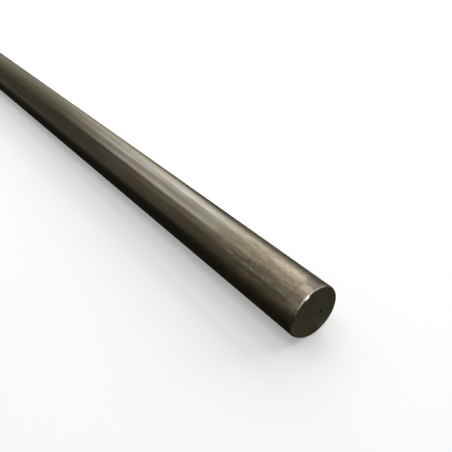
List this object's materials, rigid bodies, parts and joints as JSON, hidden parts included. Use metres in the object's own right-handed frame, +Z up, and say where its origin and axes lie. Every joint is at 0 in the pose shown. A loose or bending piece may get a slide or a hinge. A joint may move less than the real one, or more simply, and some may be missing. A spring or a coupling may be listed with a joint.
{
  "type": "stainless steel round bar",
  "caption": "Solid round bar of stainless steel stock, sawn off at both ends with the edges broken, for turning, machining, pins, shafts and frames.",
  "frame": {"origin": "on the bar's axis, at the middle of its length", "axes": "+X runs along the bar's axis towards the end with the burr, +Z is up with the bar lying on the floor, +Y completes the frame"},
  "size_m": [0.5008, 0.025, 0.025],
  "materials": {
    "stainless_steel": "mill finish, dull grey-brown with a soft sheen, faint drawn lines and handling scratches; sawn end faces darker"
  },
  "bodies": {
    "root": {"round_bar": "stainless_steel"}
  },
  "joints": []
}
